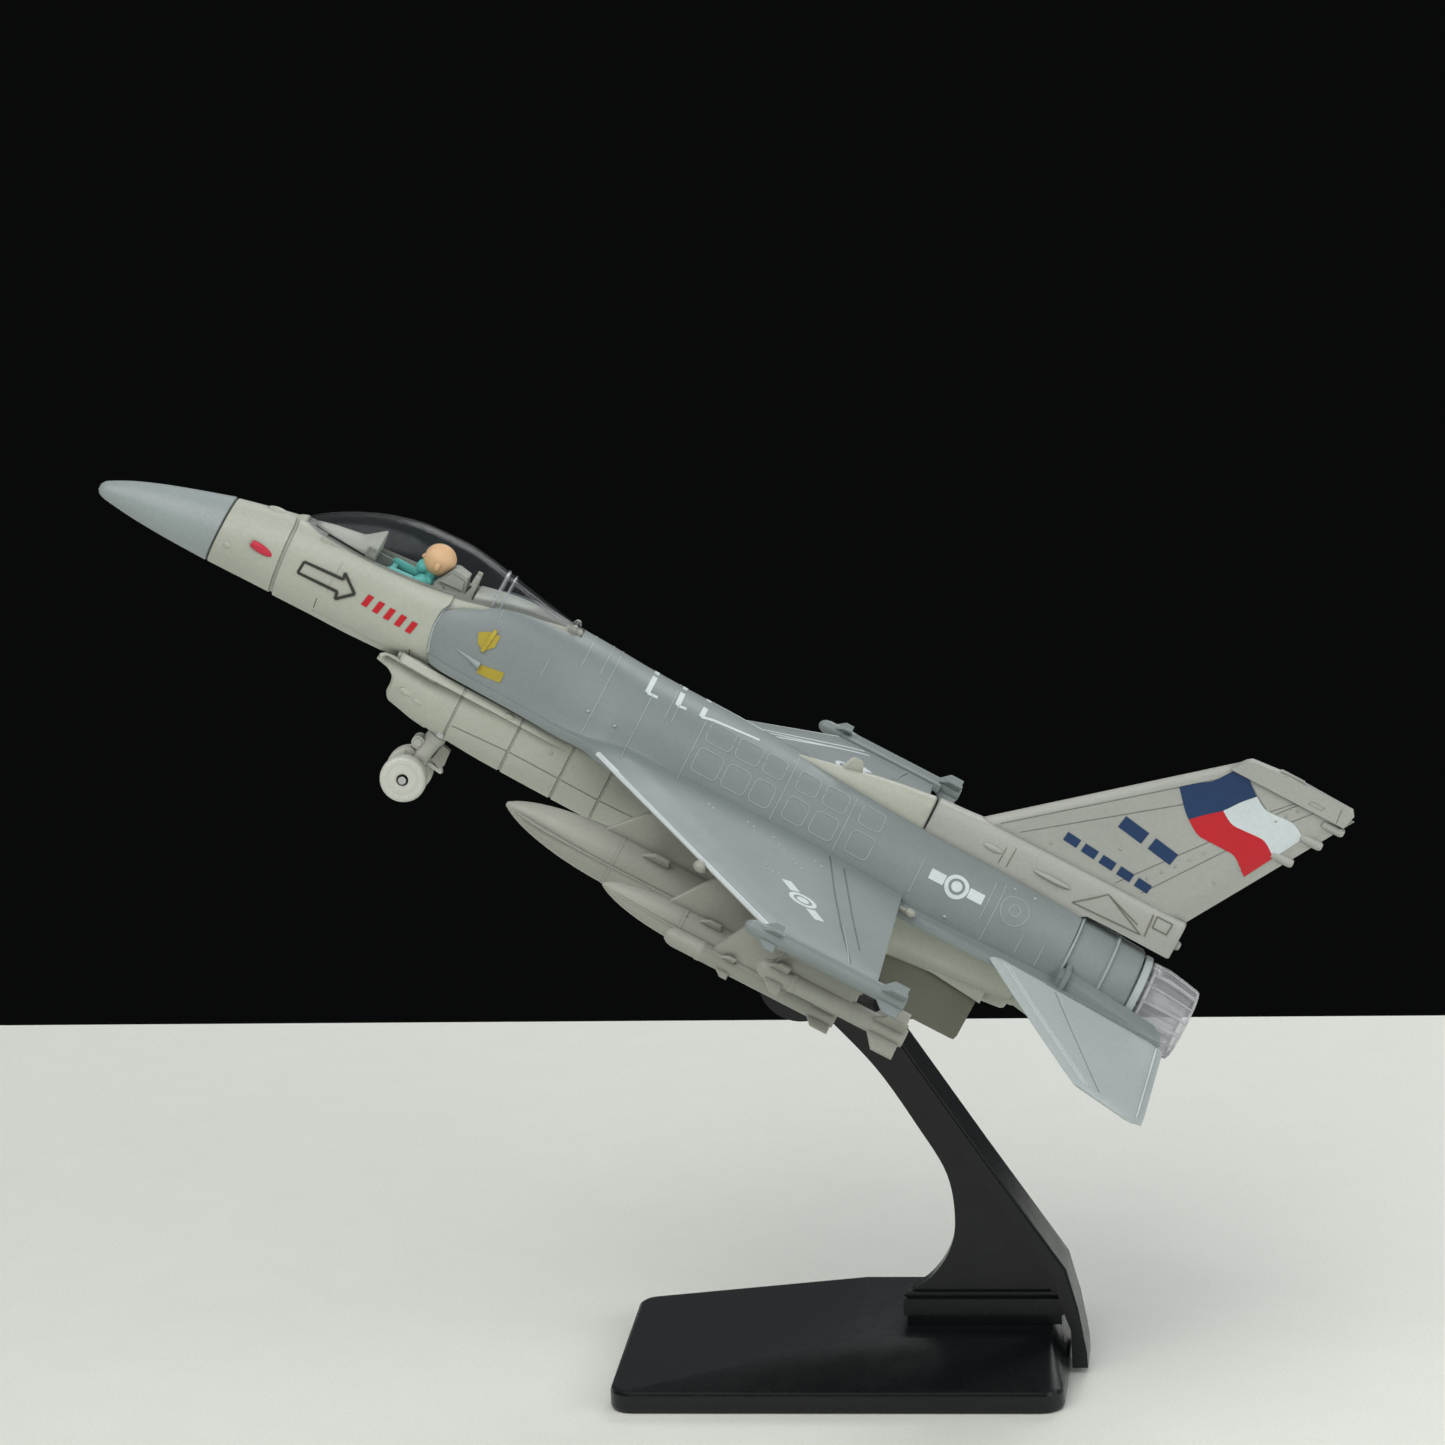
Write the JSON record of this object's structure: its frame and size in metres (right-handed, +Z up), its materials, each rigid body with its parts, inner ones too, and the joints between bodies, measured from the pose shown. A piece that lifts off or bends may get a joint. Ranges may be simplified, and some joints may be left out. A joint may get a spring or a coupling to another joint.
{
  "type": "toy jet fighter on display stand",
  "caption": "Die-cast style toy jet fighter with opening canopy, folding landing gear and underwing stores, tilting on a swept plastic display stand.",
  "frame": {"origin": "centre of the stand base's underside", "axes": "+X towards the tail, +Y to starboard, +Z up; the airframe is pitched 29 degrees nose up at rest"},
  "size_m": [0.2108, 0.1352, 0.1586],
  "materials": {
    "painted_grey": "satin mid-grey paint over cast zinc alloy, with raised panel lines",
    "khaki_plastic": "satin light khaki-grey moulded plastic",
    "black_plastic": "semi-gloss black moulded plastic with a fine grain",
    "smoky_clear": "clear smoky-grey moulded plastic",
    "clear_petals": "clear colourless moulded plastic with ribs",
    "clear_silver": "bright silvered collar",
    "teal_plastic": "teal moulded plastic",
    "peach_plastic": "peach moulded plastic",
    "plated_steel": "zinc plated"
  },
  "bodies": {
    "stand": {"base_plate": "black_plastic", "stand_arm": "black_plastic", "stand_pivot_pin": "plated_steel"},
    "airframe": {"stand_plug": "black_plastic", "radome": "painted_grey", "nose_fuselage": "khaki_plastic", "upper_shell": "painted_grey", "lower_shell": "khaki_plastic", "shell_screw_front": "plated_steel", "shell_screw_rear": "plated_steel", "intake_duct": "khaki_plastic", "intake_splitter": "khaki_plastic", "rear_deck": "khaki_plastic", "spine_fairing": "khaki_plastic", "tail_fin": "khaki_plastic", "nozzle_ring": "clear_silver", "nozzle_petals": "clear_petals", "cockpit_tub": "khaki_plastic", "instrument_coaming": "khaki_plastic", "pilot_seat": "khaki_plastic", "pilot_body": "teal_plastic", "pilot_head": "peach_plastic", "canopy_pin": "plated_steel", "nose_gear_pin": "plated_steel", "tailplane_port": "painted_grey", "tailplane_starboard": "painted_grey", "ventral_fin_port": "khaki_plastic", "ventral_fin_starboard": "khaki_plastic", "main_gear_pin_port": "plated_steel", "main_gear_pin_starboard": "plated_steel", "inner_tank_port": "khaki_plastic", "inner_tank_starboard": "khaki_plastic", "outer_tank_port": "khaki_plastic", "outer_tank_starboard": "khaki_plastic", "wing_missile_port": "khaki_plastic", "wing_missile_starboard": "khaki_plastic", "tip_missile_port": "khaki_plastic", "tip_missile_starboard": "khaki_plastic", "wingtip_rail_port": "painted_grey", "wingtip_rail_starboard": "painted_grey"},
    "canopy": {"canopy": "smoky_clear"},
    "nose_gear": {"nose_gear_leg": "khaki_plastic", "nose_gear_door": "khaki_plastic"},
    "nose_wheels": {"nose_axle": "plated_steel", "nose_wheel_port": "khaki_plastic", "nose_wheel_starboard": "khaki_plastic"},
    "main_gear_port": {"main_gear_leg_port": "khaki_plastic"},
    "main_wheel_port": {"main_axle_port": "plated_steel", "main_wheel_port": "khaki_plastic"},
    "main_gear_starboard": {"main_gear_leg_starboard": "khaki_plastic"},
    "main_wheel_starboard": {"main_axle_starboard": "plated_steel", "main_wheel_starboard": "khaki_plastic"}
  },
  "joints": [
    {"name": "stand_tilt", "type": "hinge", "parent": "stand", "child": "airframe", "pos_m": [-0.0053, 0, 0.0708], "axis": [0, 1, 0], "range_deg": [-28, 14]},
    {"name": "canopy_hinge", "type": "hinge", "parent": "airframe", "child": "canopy", "pos_m": [-0.04145, 0, 0.13223], "axis": [0, 1, 0], "range_deg": [0, 40]},
    {"name": "nose_gear_fold", "type": "hinge", "parent": "airframe", "child": "nose_gear", "pos_m": [-0.06445, 0, 0.11548], "axis": [0, -1, 0], "range_deg": [0, 98]},
    {"name": "nose_wheel_spin", "type": "hinge", "parent": "nose_gear", "child": "nose_wheels", "pos_m": [-0.0718, 0, 0.10698], "axis": [0, -1, 0], "continuous": true},
    {"name": "main_gear_port_fold", "type": "hinge", "parent": "airframe", "child": "main_gear_port", "pos_m": [-0.01538, -0.0056, 0.08851], "axis": [0, -1, 0], "range_deg": [0, 92]},
    {"name": "main_wheel_port_spin", "type": "hinge", "parent": "main_gear_port", "child": "main_wheel_port", "pos_m": [-0.0257, -0.0056, 0.09423], "axis": [0, -1, 0], "continuous": true},
    {"name": "main_gear_starboard_fold", "type": "hinge", "parent": "airframe", "child": "main_gear_starboard", "pos_m": [-0.01538, 0.0056, 0.08851], "axis": [0, -1, 0], "range_deg": [0, 92]},
    {"name": "main_wheel_starboard_spin", "type": "hinge", "parent": "main_gear_starboard", "child": "main_wheel_starboard", "pos_m": [-0.0257, 0.0056, 0.09423], "axis": [0, -1, 0], "continuous": true}
  ]
}
